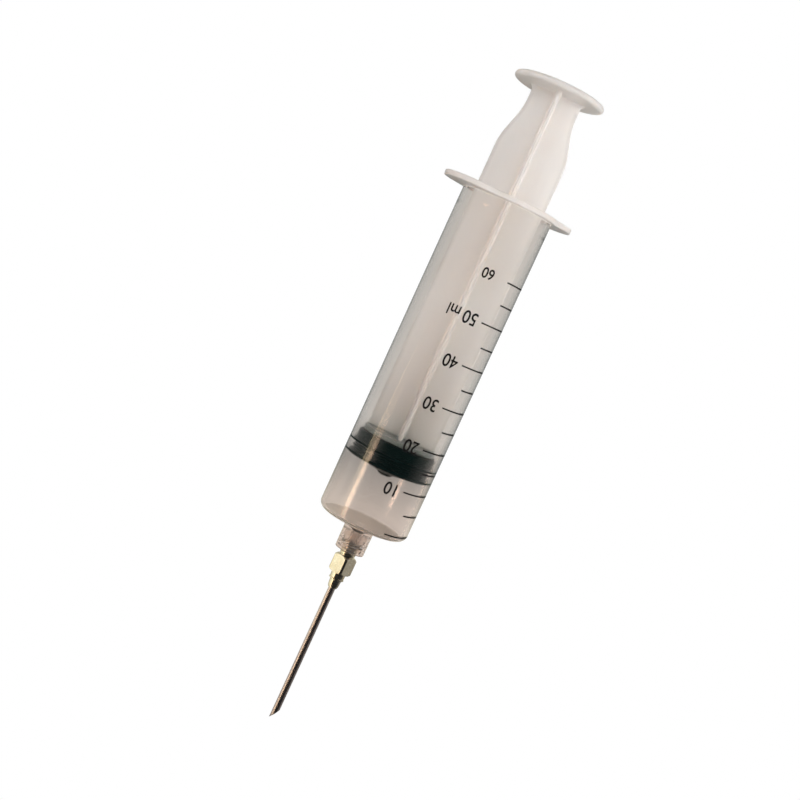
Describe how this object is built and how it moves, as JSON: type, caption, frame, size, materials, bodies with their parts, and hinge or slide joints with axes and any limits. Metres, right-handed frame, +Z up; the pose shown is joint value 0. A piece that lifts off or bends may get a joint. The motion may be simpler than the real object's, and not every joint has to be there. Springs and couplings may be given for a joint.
{
  "type": "meat injector syringe",
  "caption": "Large clear-plastic syringe with a graduated barrel, sliding plunger and a screw-on hollow needle, used to inject marinade into meat.",
  "frame": {"origin": "centre of the bounding box at its lowest face, which is the plane of the flange's lower flat", "axes": "+X along the barrel's axis towards the thumb disc, with the needle towards -X; Y along the wings of the finger flange; +Z up"},
  "size_m": [0.2304, 0.0498, 0.0328],
  "materials": {
    "barrel": "clear, slightly hazy moulded polypropylene",
    "plunger_rod": "milky translucent moulded polypropylene",
    "stopper": "satin black rubber",
    "needle_hub": "nickel-plated brass",
    "needle_tube": "drawn stainless steel"
  },
  "bodies": {
    "barrel": {"barrel": "barrel"},
    "stopper": {"stopper": "stopper"},
    "plunger_rod": {"plunger_rod": "plunger_rod"},
    "needle_tube": {"needle_tube": "needle_tube"},
    "needle_hub": {"needle_hub": "needle_hub"}
  },
  "joints": [
    {"name": "plunger_slide", "type": "slide", "parent": "barrel", "child": "stopper", "axis": [1, 0, 0], "range_m": [-0.0195, 0.0712]},
    {"name": "plunger_spin", "type": "hinge", "parent": "stopper", "child": "plunger_rod", "pos_m": [0, 0, 0.0164], "axis": [1, 0, 0], "continuous": true},
    {"name": "needle_advance", "type": "slide", "parent": "barrel", "child": "needle_tube", "axis": [-1, 0, 0], "range_m": [0, 0.00625]},
    {"name": "needle_twist", "type": "hinge", "parent": "needle_tube", "child": "needle_hub", "pos_m": [-0.05, 0, 0.0164], "axis": [-1, 0, 0], "range_deg": [0, 450]}
  ],
  "couplings": [
    {"joint": "needle_twist", "follows": "needle_advance", "rad_per_m": 1256.6}
  ]
}
